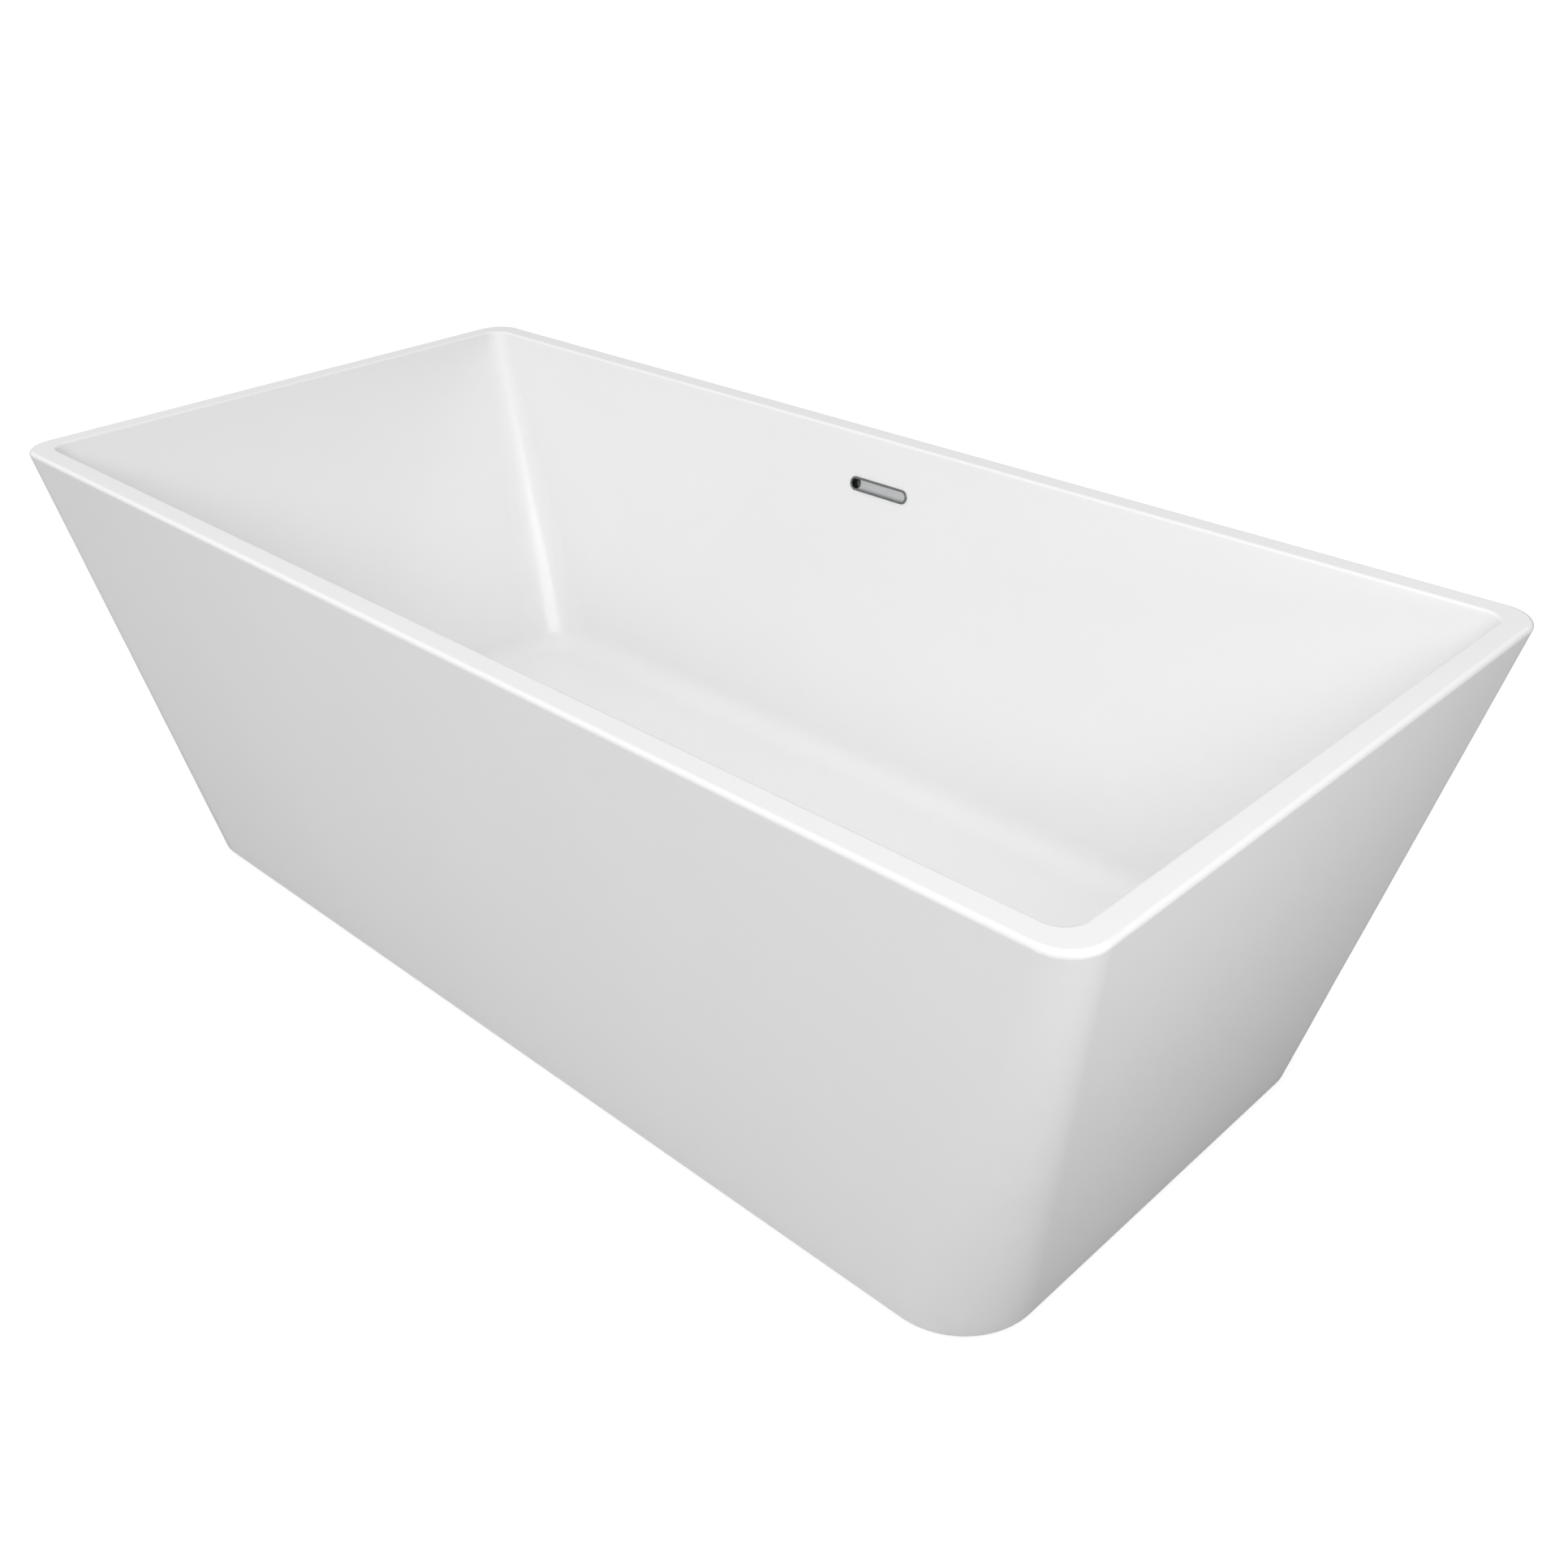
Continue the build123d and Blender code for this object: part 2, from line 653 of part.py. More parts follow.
def make_foot_stud(place, name):
    """Threaded stud with a hexagon collar to turn it by; its round end sits in the pad."""
    with BuildPart() as stud:
        with BuildSketch(Plane.XY.offset(STUD_BOTTOM)):
            with Locations(place):
                Circle(STUD_RADIUS)
        extrude(amount=STUD_TOP - STUD_BOTTOM)
        chamfer(stud.edges().filter_by(GeomType.CIRCLE), STUD_CHAMFER)
        with BuildSketch(Plane.XY.offset(COLLAR_BOTTOM)):
            with Locations(place):
                RegularPolygon(NUT_FLATS / 2, 6, major_radius=False)
        extrude(amount=COLLAR_HEIGHT)
    save(stud, name)


def make_foot_pad(place, name):
    """Nylon pad with a hub that the stud's end turns in."""
    with BuildPart() as pad:
        with BuildSketch(Plane.XY):
            with Locations(place):
                Circle(PAD_RADIUS)
        extrude(amount=PAD_THICKNESS)
        fillet(pad.edges().group_by(Axis.Z)[-1], PAD_ROUND)
        chamfer(pad.edges().group_by(Axis.Z)[0], PAD_CHAMFER)
        with BuildSketch(Plane.XY):
            with Locations(place):
                Circle(PAD_HUB_RADIUS)
        extrude(amount=PAD_HUB_TOP)
        fillet(pad.edges().group_by(Axis.Z)[-1], PAD_HUB_ROUND)
        with BuildSketch(Plane.XY.offset(STUD_BOTTOM - PLAY)):
            with Locations(place):
                Circle(STUD_RADIUS + PLAY)
        extrude(amount=PAD_HUB_TOP, mode=Mode.SUBTRACT)
    save(pad, name)


# ---------------------------------------------------------------- overflow


def make_overflow_trim():
    """Chromed ring round the slot with a sleeve through the wall."""
    with BuildPart() as trim:
        extrude(stadium(0, TRIM_LENGTH, TRIM_WIDTH), amount=TRIM_PROUD)
        fillet(trim.edges().group_by(WALL_AXIS)[-1], TRIM_ROUND)
        extrude(stadium(0, SLEEVE_LENGTH, SLEEVE_WIDTH), amount=-SLEEVE_DEPTH)
        add(overflow_cutter(MOUTH_LENGTH, MOUTH_WIDTH), mode=Mode.SUBTRACT)
        fillet(trim.edges().group_by(WALL_AXIS)[-1], MOUTH_ROUND)
    save(trim, "overflow_trim")


def make_overflow_tray():
    """Shallow plate in the mouth, cut away at its -X end where the water falls through."""
    face = stadium(TRAY_DEPTH, MOUTH_LENGTH - 2 * PLAY, MOUTH_WIDTH - 2 * PLAY)
    with BuildPart() as tray:
        extrude(face, amount=-TRAY_THICKNESS)
        with BuildSketch(WALL):
            with Locations((OUTLET_OFFSET, 0)):
                Circle(MOUTH_WIDTH / 2)
                Rectangle(MOUTH_WIDTH, MOUTH_WIDTH, align=(Align.MAX, Align.CENTER))
        extrude(amount=-CUT_LENGTH, mode=Mode.SUBTRACT)
    save(tray, "overflow_tray")


def make_overflow_gasket():
    """Foam rubber ring squeezed between the laminate and the housing."""
    back_of_wall = ACRYLIC + BASIN_LAMINATE
    with BuildPart() as gasket:
        face = stadium(HOUSING_FRONT, HOUSING_LENGTH, HOUSING_WIDTH)
        extrude(face, amount=HOUSING_FRONT - back_of_wall)
        hole = overflow_cutter(SLEEVE_LENGTH + GASKET_PLAY, SLEEVE_WIDTH + GASKET_PLAY)
        add(hole, mode=Mode.SUBTRACT)
    save(gasket, "overflow_gasket")


def spigot_plane():
    """Plane at the foot of the housing's outlet, looking down the gap between the shells."""
    middle = (HOUSING_FRONT + HOUSING_BACK) / 2 + SPIGOT_SHIFT
    start = WALL.from_local_coords((OUTLET_OFFSET, -HOUSING_WIDTH / 2, -middle))
    run = Vector(OUTLET_X, HOSE_LOW_Y, HOSE_LOW_Z) - start
    return Plane(origin=start, x_dir=(1, 0, 0), z_dir=run)


SPIGOT = spigot_plane()


def make_overflow_housing():
    """Slim collecting box behind the wall with a spigot pointing down at its -X end."""
    cavity_length = HOUSING_LENGTH - 3 * HOUSING_WALL
    cavity_width = HOUSING_WIDTH - 3 * HOUSING_WALL
    cavity_depth = HOUSING_BACK - HOUSING_FRONT - HOUSING_WALL
    with BuildPart() as housing:
        back = stadium(HOUSING_BACK, HOUSING_LENGTH, HOUSING_WIDTH)
        extrude(back, amount=HOUSING_BACK - HOUSING_FRONT)
        fillet(housing.edges().group_by(WALL_AXIS)[0], HOUSING_ROUND)
        with BuildSketch(SPIGOT.offset(-SPIGOT_ROOT)):
            Circle(SPIGOT_RADIUS)
        extrude(amount=SPIGOT_LENGTH + SPIGOT_ROOT)
        cavity = stadium(HOUSING_FRONT, cavity_length, cavity_width)
        extrude(cavity, amount=-cavity_depth, mode=Mode.SUBTRACT)
        with BuildSketch(SPIGOT.offset(-2 * SPIGOT_ROOT)):
            Circle(SPIGOT_BORE)
        extrude(amount=SPIGOT_LENGTH + 3 * SPIGOT_ROOT, mode=Mode.SUBTRACT)
    save(housing, "overflow_housing")


def hose_points():
    """Corner points of the hose's route, from the housing's spigot down to the drain's port."""
    start = SPIGOT.origin
    low = Vector(OUTLET_X, HOSE_LOW_Y, HOSE_LOW_Z)
    run = low - start
    top = start + run * ((HOSE_TOP - start.Z) / run.Z)
    corner = start + run * ((PORT_HEIGHT - start.Z) / run.Z)
    kink = Vector(0, HOSE_KINK_Y, PORT_HEIGHT)
    end = Vector(0, HOSE_END_Y, PORT_HEIGHT)
    return top, corner, kink, end


def make_overflow_hose():
    """Flexible hose down the gap between the shells and in under the floor to the drain."""
    top, corner, kink, end = hose_points()
    with BuildPart() as hose:
        with BuildLine() as route:
            FilletPolyline(top, corner, kink, end, radius=[HOSE_BEND, HOSE_KINK_BEND])
        with BuildSketch(Plane(origin=top, x_dir=(1, 0, 0), z_dir=corner - top)):
            Circle(HOSE_RADIUS)
            Circle(HOSE_BORE, mode=Mode.SUBTRACT)
        sweep(path=route.line)
    save(hose, "overflow_hose")
    section = math.pi * (HOSE_RADIUS**2 - HOSE_BORE**2)
    length = sum(edge.length for edge in route.line.edges())
    print("overflow hose length", round(length, 1))
    print("hose volume over section times length", round(hose.part.volume / section / length, 4))


def make_hose_clamp(plane, name):
    """Worm-drive clamp: a band round the hose and a screw housing beside it."""
    outer = HOSE_RADIUS + CLAMP_BAND
    box_middle = -outer - CLAMP_BOX_OUT
    with BuildPart() as clamp:
        with BuildSketch(plane):
            Circle(outer)
            Circle(HOSE_RADIUS + CLAMP_GAP, mode=Mode.SUBTRACT)
        extrude(amount=CLAMP_WIDTH)
        with BuildSketch(plane.offset(-CLAMP_BOX_OVERHANG)):
            with Locations((box_middle, 0)):
                RectangleRounded(CLAMP_BOX_WIDTH, CLAMP_BOX_LENGTH, CLAMP_BOX_ROUND)
            Circle(HOSE_RADIUS + CLAMP_GAP, mode=Mode.SUBTRACT)
        extrude(amount=CLAMP_WIDTH + 2 * CLAMP_BOX_OVERHANG)
        head = plane.from_local_coords((box_middle, CLAMP_BOX_LENGTH / 2, CLAMP_WIDTH / 2))
        with BuildSketch(Plane(origin=head, z_dir=plane.y_dir)):
            RegularPolygon(CLAMP_SCREW_RADIUS, 6)
        extrude(amount=CLAMP_SCREW_HEAD)
    save(clamp, name)


def clamp_plane(start, toward, distance):
    """Plane across the hose at a distance from one end of it, looking along it."""
    run = toward - start
    return Plane(origin=start + run.normalized() * distance, x_dir=(1, 0, 0), z_dir=run)


def make_hose_clamps():
    """One clamp on the housing's spigot and one on the drain's port."""
    top, corner, kink, end = hose_points()
    make_hose_clamp(clamp_plane(top, corner, UPPER_CLAMP_START), "hose_clamp_upper")
    make_hose_clamp(clamp_plane(end, kink, LOWER_CLAMP_START), "hose_clamp_lower")


# ---------------------------------------------------------------- drain


def turned(name, *outline):
    """Solid of revolution on the drain's axis from its half section of radius and height."""
    with BuildPart() as piece:
        with BuildSketch(Plane.XZ):
            Polygon(*outline, align=None)
        revolve(axis=Axis.Z)
    save(piece, name)


def make_drain_flange():
    """Chromed flange in the floor with its threaded barrel and the spider that holds the stopper."""
    bottom = FLOOR_HEIGHT + FLANGE_GASKET
    top = bottom + FLANGE_THICKNESS
    outline = [
        (BARREL_BORE, BARREL_BOTTOM),
        (BARREL_RADIUS, BARREL_BOTTOM),
        (BARREL_RADIUS, bottom),
        (FLANGE_RADIUS, bottom),
        (FLANGE_RADIUS, bottom + FLANGE_EDGE),
        (FLANGE_RADIUS - FLANGE_BEVEL, top),
        (SEAT_RADIUS, top),
        (SEAT_RADIUS, top - SEAT_DEPTH),
        (BARREL_BORE + THROAT_WIDTH, top - SEAT_DEPTH),
        (BARREL_BORE, top - SEAT_DEPTH - THROAT_DEPTH),
    ]
    with BuildPart() as flange:
        with BuildSketch(Plane.XZ):
            Polygon(*outline, align=None)
        revolve(axis=Axis.Z)
        with BuildSketch(Plane.XY.offset(BARREL_BOTTOM)):
            Rectangle(BARREL_BORE + BARREL_RADIUS, SPIDER_ARM)
            Rectangle(SPIDER_ARM, BARREL_BORE + BARREL_RADIUS)
            Circle(SPIDER_HUB_RADIUS)
            Circle(SPIDER_BORE, mode=Mode.SUBTRACT)
        extrude(amount=CARTRIDGE_BOTTOM - BARREL_BOTTOM)
    save(flange, "drain_flange")


def make_drain_rings():
    """Flat gasket under the flange and rubber washer under the floor."""
    turned(
        "drain_gasket",
        (DRAIN_HOLE, FLOOR_HEIGHT),
        (FLANGE_RADIUS - FLANGE_EDGE, FLOOR_HEIGHT),
        (FLANGE_RADIUS - FLANGE_EDGE, FLOOR_HEIGHT + FLANGE_GASKET),
        (DRAIN_HOLE, FLOOR_HEIGHT + FLANGE_GASKET),
    )
    turned(
        "drain_washer",
        (DRAIN_HOLE, UNDERSIDE - WASHER_THICKNESS),
        (BODY_FLANGE_RADIUS, UNDERSIDE - WASHER_THICKNESS),
        (BODY_FLANGE_RADIUS, UNDERSIDE),
        (DRAIN_HOLE, UNDERSIDE),
    )


def make_drain_body():
    """Drain cup screwed onto the barrel, with a side port for the overflow hose."""
    top = UNDERSIDE - WASHER_THICKNESS
    port_end = HOSE_END_Y + PORT_OVERLAP
    outline = [
        (BODY_BORE, top),
        (BODY_FLANGE_RADIUS, top),
        (BODY_FLANGE_RADIUS, top - BODY_FLANGE),
        (BODY_RADIUS, top - BODY_FLANGE - BODY_BEVEL),
        (BODY_RADIUS, BODY_TAPER_TOP),
        (OUTLET_RADIUS, BODY_TAPER_BOTTOM),
        (OUTLET_RADIUS, OUTLET_BOTTOM),
        (TAIL_RADIUS + PLAY, OUTLET_BOTTOM),
        (TAIL_RADIUS + PLAY, BODY_FLOOR),
        (BODY_BORE - BODY_LEDGE, BODY_CUP_BOTTOM),
        (BODY_BORE - BODY_LEDGE, BODY_THREAD_END),
        (BODY_BORE, BODY_THREAD_END),
    ]
    with BuildPart() as body:
        with BuildSketch(Plane.XZ):
            Polygon(*outline, align=None)
        revolve(axis=Axis.Z)
        with BuildSketch(Plane.XZ.offset(PORT_ROOT - BODY_RADIUS)):
            with Locations((0, PORT_HEIGHT)):
                Circle(SPIGOT_RADIUS)
        extrude(amount=BODY_RADIUS - PORT_ROOT - port_end)
        with BuildSketch(Plane.XZ):
            with Locations((0, PORT_HEIGHT)):
                Circle(SPIGOT_BORE)
        extrude(amount=-port_end, mode=Mode.SUBTRACT)
    save(body, "drain_body")


def make_tailpiece():
    """Tailpiece, and the washer that seals it in the drain body's outlet."""
    neck = TAIL_RADIUS - TAIL_NECK_STEP
    turned(
        "drain_tailpiece",
        (TAIL_BORE, TAIL_BOTTOM),
        (TAIL_RADIUS, TAIL_BOTTOM),
        (TAIL_RADIUS, SLIP_NUT_BOTTOM),
        (neck, SLIP_NUT_BOTTOM),
        (neck, TAIL_TOP),
        (TAIL_BORE, TAIL_TOP),
    )
    turned(
        "slip_nut_washer",
        (neck, SLIP_NUT_BOTTOM + SLIP_NUT_FLOOR),
        (OUTLET_RADIUS, SLIP_NUT_BOTTOM + SLIP_NUT_FLOOR),
        (OUTLET_RADIUS, OUTLET_BOTTOM),
        (neck, OUTLET_BOTTOM),
    )


def make_slip_nut():
    """Round nut with finger grooves that clamps the washer against the drain body's outlet."""
    height = SLIP_NUT_TOP - SLIP_NUT_BOTTOM
    with BuildPart() as nut:
        with BuildSketch(Plane.XY.offset(SLIP_NUT_BOTTOM)):
            Circle(SLIP_NUT_RADIUS)
            Circle(TAIL_RADIUS + PLAY, mode=Mode.SUBTRACT)
        extrude(amount=height)
        rims = nut.edges().filter_by(GeomType.CIRCLE).sort_by(SortBy.RADIUS)[-2:]
        chamfer(rims, SLIP_NUT_CHAMFER)
        with BuildSketch(Plane.XY.offset(SLIP_NUT_BOTTOM + SLIP_NUT_FLOOR)):
            Circle(OUTLET_RADIUS + PLAY)
        extrude(amount=height, mode=Mode.SUBTRACT)
        with BuildSketch(Plane.XY.offset(SLIP_NUT_BOTTOM)):
            with PolarLocations(SLIP_NUT_RADIUS + GROOVE_OUT, SLIP_NUT_GROOVES):
                Circle(GROOVE_RADIUS)
        extrude(amount=height, mode=Mode.SUBTRACT)
    save(nut, "slip_nut")


def make_stopper():
    """Cap, seal and stem of the stopper, shown closed."""
    edge = CAP_BOTTOM + CAP_EDGE
    crown = edge + CAP_DOME
    with BuildPart() as cap:
        with BuildSketch(Plane.XZ):
            with BuildLine():
                Polyline((0, CAP_BOTTOM), (CAP_RADIUS, CAP_BOTTOM), (CAP_RADIUS, edge))
                ThreePointArc((CAP_RADIUS, edge), (CAP_RADIUS / 2, edge + CAP_DOME * 3 / 4), (0, crown))
                Line((0, crown), (0, CAP_BOTTOM))
            make_face()
        revolve(axis=Axis.Z)
        rims = cap.edges().filter_by(GeomType.CIRCLE).sort_by(SortBy.RADIUS)[-2:]
        fillet(rims, CAP_ROUND)
        with BuildSketch(Plane.XY.offset(CAP_BOTTOM)):
            Circle(STEM_THREAD_RADIUS)
        extrude(amount=STEM_THREAD, mode=Mode.SUBTRACT)
    save(cap, "stopper_cap")
    seat = FLOOR_HEIGHT + FLANGE_GASKET + FLANGE_THICKNESS - SEAT_DEPTH
    turned(
        "stopper_seal",
        (SEAL_INNER, seat + PLAY),
        (SEAL_OUTER - SEAL_BEVEL, seat + PLAY),
        (SEAL_OUTER, seat + SEAL_BEVEL),
        (SEAL_OUTER, CAP_BOTTOM),
        (SEAL_INNER, CAP_BOTTOM),
    )
    turned(
        "stopper_stem",
        (0, STEM_BOTTOM),
        (STEM_RADIUS, STEM_BOTTOM),
        (STEM_RADIUS, CAP_BOTTOM),
        (STEM_THREAD_RADIUS, CAP_BOTTOM),
        (STEM_THREAD_RADIUS, CAP_BOTTOM + STEM_THREAD),
        (0, CAP_BOTTOM + STEM_THREAD),
    )


def make_cartridge():
    """Click-clack cartridge screwed into the flange's spider, and the spring in it."""
    turned(
        "stopper_cartridge",
        (0, BARREL_BOTTOM - CARTRIDGE_TAIL),
        (SPIDER_BORE - PLAY, BARREL_BOTTOM - CARTRIDGE_TAIL),
        (SPIDER_BORE - PLAY, CARTRIDGE_BOTTOM),
        (CARTRIDGE_RADIUS, CARTRIDGE_BOTTOM),
        (CARTRIDGE_RADIUS, CARTRIDGE_TOP),
        (CARTRIDGE_BORE, CARTRIDGE_TOP),
        (CARTRIDGE_BORE, CARTRIDGE_FLOOR),
        (0, CARTRIDGE_FLOOR),
    )
    height = STEM_BOTTOM - CARTRIDGE_FLOOR - 2 * (SPRING_WIRE + SPRING_PLAY)
    start = CARTRIDGE_FLOOR + SPRING_WIRE + SPRING_PLAY
    with BuildPart() as spring:
        with BuildLine(Plane.XY.offset(start)) as coil:
            Helix(pitch=height / SPRING_TURNS, height=height, radius=SPRING_RADIUS)
        with BuildSketch(Plane(origin=coil.line @ 0, z_dir=coil.line % 0)):
            Circle(SPRING_WIRE)
        sweep(path=coil.line)
    save(spring, "stopper_spring")


# ---------------------------------------------------------------- everything


def main():
    os.makedirs("parts", exist_ok=True)
    make_basin()
    make_basin_reinforcement()
    make_skirt()
    make_skirt_linings()
    make_base_board()
    make_rail(-1, "frame_rail_front")
    make_rail(1, "frame_rail_back")
    make_cross_bars()
    make_rail_end_caps()
    make_frame_screws()
    make_long_batten(-1, "hem_batten_front")
    make_long_batten(1, "hem_batten_back")
    make_end_batten(-1, "hem_batten_left")
    make_end_batten(1, "hem_batten_right")
    make_side_brackets()
    make_end_brackets()
    make_bracket_screws()
    make_foot_nuts("foot_weld_nuts", FRAME_BOTTOM, WELD_NUT_HEIGHT)
    make_foot_nuts("foot_lock_nuts", FRAME_BOTTOM - WELD_NUT_HEIGHT, LOCK_NUT_HEIGHT)
    for number, place in enumerate(foot_places(), start=1):
        make_foot_stud(place, f"foot_stud_{number}")
        make_foot_pad(place, f"foot_pad_{number}")
    make_overflow_trim()
    make_overflow_tray()
    make_overflow_gasket()
    make_overflow_housing()
    make_overflow_hose()
    make_hose_clamps()
    make_drain_flange()
    make_drain_rings()
    make_drain_body()
    make_tailpiece()
    make_slip_nut()
    make_stopper()
    make_cartridge()


main()
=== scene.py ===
import json
import math

import bpy
from mathutils import Matrix, Vector


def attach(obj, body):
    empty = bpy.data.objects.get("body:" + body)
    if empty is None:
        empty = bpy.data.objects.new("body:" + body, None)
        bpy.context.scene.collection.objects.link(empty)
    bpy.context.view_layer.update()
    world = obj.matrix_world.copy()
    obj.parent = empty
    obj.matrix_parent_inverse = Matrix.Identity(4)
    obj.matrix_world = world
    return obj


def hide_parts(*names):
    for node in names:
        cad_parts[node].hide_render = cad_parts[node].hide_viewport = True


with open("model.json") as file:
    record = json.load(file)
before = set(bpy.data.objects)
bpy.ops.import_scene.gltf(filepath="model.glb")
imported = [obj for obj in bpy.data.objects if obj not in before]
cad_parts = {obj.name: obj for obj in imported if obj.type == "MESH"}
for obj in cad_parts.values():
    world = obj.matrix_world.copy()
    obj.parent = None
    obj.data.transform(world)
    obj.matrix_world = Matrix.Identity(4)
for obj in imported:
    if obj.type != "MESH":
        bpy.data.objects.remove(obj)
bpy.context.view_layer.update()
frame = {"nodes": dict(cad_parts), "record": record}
nodes = frame["nodes"]

# ---------------------------------------------------------------- material helpers


class Shader:
    """A node material with short ways to add and join nodes."""

    def __init__(self, name):
        self.material = bpy.data.materials.new(name)
        self.material.use_nodes = True
        self.tree = self.material.node_tree
        self.bsdf = self.tree.nodes["Principled BSDF"]
        self.place = self.add("ShaderNodeTexCoord").outputs["Object"]

    def add(self, kind, **settings):
        node = self.tree.nodes.new(kind)
        for key, value in settings.items():
            setattr(node, key, value)
        return node

    def join(self, output, target):
        self.tree.links.new(output, target)

    def set(self, **values):
        for key, value in values.items():
            self.bsdf.inputs[key.replace("_", " ")].default_value = value

    def stretched(self, scale):
        node = self.add("ShaderNodeMapping")
        node.inputs["Scale"].default_value = scale
        self.join(self.place, node.inputs["Vector"])
        return node.outputs["Vector"]

    def noise(self, scale, detail=3.0, roughness=0.5, vector=None):
        node = self.add("ShaderNodeTexNoise")
        node.inputs["Scale"].default_value = scale
        node.inputs["Detail"].default_value = detail
        node.inputs["Roughness"].default_value = roughness
        self.join(vector or self.place, node.inputs["Vector"])
        return node.outputs["Fac"]

    def cells(self, scale):
        node = self.add("ShaderNodeTexVoronoi")
        node.inputs["Scale"].default_value = scale
        self.join(self.place, node.inputs["Vector"])
        return node

    def waves(self, scale, distortion, direction, detail=2.0):
        node = self.add("ShaderNodeTexWave", bands_direction=direction)
        node.inputs["Scale"].default_value = scale
        node.inputs["Distortion"].default_value = distortion
        node.inputs["Detail"].default_value = detail
        self.join(self.place, node.inputs["Vector"])
        return node.outputs["Fac"]

    def ramp(self, value, *stops):
        """Colours along a value, from pairs of a position and a colour."""
        node = self.add("ShaderNodeValToRGB")
        elements = node.color_ramp.elements
        while len(elements) < len(stops):
            elements.new(0.5)
        for element, (position, colour) in zip(elements, stops):
            element.position = position
            element.color = (*colour, 1.0)
        self.join(value, node.inputs["Fac"])
        return node.outputs["Color"]

    def span(self, value, low, high):
        """A 0 to 1 value moved to the range low to high."""
        node = self.add("ShaderNodeMapRange")
        node.inputs["To Min"].default_value = low
        node.inputs["To Max"].default_value = high
        self.join(value, node.inputs["Value"])
        return node.outputs["Result"]

    def colour(self, output):
        self.join(output, self.bsdf.inputs["Base Color"])

    def rough(self, value, low, high):
        self.join(self.span(value, low, high), self.bsdf.inputs["Roughness"])

    def bump(self, *heights):
        """Bump from pairs of a height output and its depth in metres, one on top of the other."""
        normal = None
        for height, depth in heights:
            node = self.add("ShaderNodeBump")
            node.inputs["Strength"].default_value = 1.0
            node.inputs["Distance"].default_value = depth
            self.join(height, node.inputs["Height"])
            if normal:
                self.join(normal, node.inputs["Normal"])
            normal = node.outputs["Normal"]
        self.join(normal, self.bsdf.inputs["Normal"])


# ---------------------------------------------------------------- materials


def acrylic():
    """Glossy white acrylic sheet: faint clouding, polish marks and a trace of orange peel."""
    s = Shader("acrylic_white")
    clouds = s.noise(5.0, detail=2.0)
    s.colour(s.ramp(clouds, (0.3, (0.868, 0.871, 0.869)), (0.7, (0.879, 0.880, 0.877))))
    s.rough(s.noise(38.0, detail=4.0), 0.26, 0.38)
    s.bump((s.noise(120.0, detail=1.0), 0.00004), (s.noise(14.0, detail=1.0), 0.0002))
    s.set(IOR=1.49, Coat_Weight=0.25, Coat_Roughness=0.14)
    return s.material


def laminate():
    """Sprayed glass fibre in pale resin: short strands, pits and thicker patches."""
    s = Shader("laminate")
    strands = s.waves(90.0, 18.0, "X", detail=4.0)
    patches = s.noise(7.0, detail=4.0)
    s.colour(s.ramp(patches, (0.25, (0.50, 0.49, 0.39)), (0.75, (0.67, 0.66, 0.57))))
    s.rough(strands, 0.45, 0.75)
    s.bump((strands, 0.0006), (s.cells(140.0).outputs["Distance"], 0.0008), (patches, 0.003))
    return s.material


def resin():
    """Set resin bead, glossy and uneven."""
    s = Shader("resin")
    lumps = s.noise(60.0, detail=2.0)
    s.colour(s.ramp(lumps, (0.3, (0.52, 0.47, 0.34)), (0.7, (0.66, 0.62, 0.50))))
    s.rough(lumps, 0.18, 0.35)
    s.bump((lumps, 0.001))
    return s.material


def plywood():
    """Unsealed plywood: long grain on the faces and thin plies on the edges."""
    s = Shader("plywood")
    along = s.stretched((4.0, 60.0, 60.0))
    grain = s.noise(1.0, detail=6.0, roughness=0.6, vector=along)
    plies = s.waves(105.0, 0.4, "Z")
    mix = s.add("ShaderNodeMath", operation="MULTIPLY")
    s.join(grain, mix.inputs[0])
    s.join(s.span(plies, 0.75, 1.0), mix.inputs[1])
    s.colour(s.ramp(mix.outputs["Value"], (0.25, (0.30, 0.18, 0.085)), (0.6, (0.62, 0.44, 0.25))))
    s.rough(grain, 0.65, 0.85)
    s.bump((grain, 0.0004))
    return s.material


def galvanised():
    """Galvanised steel with its crystal spangle."""
    s = Shader("galvanised_steel")
    spangle = s.cells(85.0).outputs["Color"]
    tone = s.add("ShaderNodeSeparateColor")
    s.join(spangle, tone.inputs["Color"])
    value = tone.outputs["Red"]
    s.colour(s.ramp(value, (0.0, (0.42, 0.44, 0.46)), (1.0, (0.62, 0.64, 0.65))))
    s.rough(value, 0.28, 0.5)
    s.bump((s.noise(300.0), 0.0001))
    s.set(Metallic=1.0)
    return s.material


def zinc():
    """Zinc-plated fasteners, slightly dull."""
    s = Shader("zinc_steel")
    dull = s.noise(240.0, detail=3.0)
    s.colour(s.ramp(dull, (0.3, (0.52, 0.53, 0.55)), (0.7, (0.66, 0.67, 0.66))))
    s.rough(dull, 0.25, 0.42)
    s.bump((dull, 0.00005))
    s.set(Metallic=1.0)
    return s.material


def stainless():
    """Bright stainless strip with a drawn finish."""
    s = Shader("stainless")
    drawn = s.noise(1.0, detail=2.0, vector=s.stretched((300.0, 300.0, 2500.0)))
    s.colour(s.ramp(drawn, (0.3, (0.58, 0.58, 0.58)), (0.7, (0.68, 0.68, 0.67))))
    s.rough(drawn, 0.18, 0.32)
    s.bump((drawn, 0.00003))
    s.set(Metallic=1.0)
    return s.material


def moulded_plastic(name, dark, light):
    """Moulded plastic with a fine spark texture."""
    s = Shader(name)
    grain = s.noise(900.0, detail=2.0)
    s.colour(s.ramp(s.noise(20.0), (0.3, dark), (0.7, light)))
    s.rough(grain, 0.42, 0.6)
    s.bump((grain, 0.00012))
    return s.material


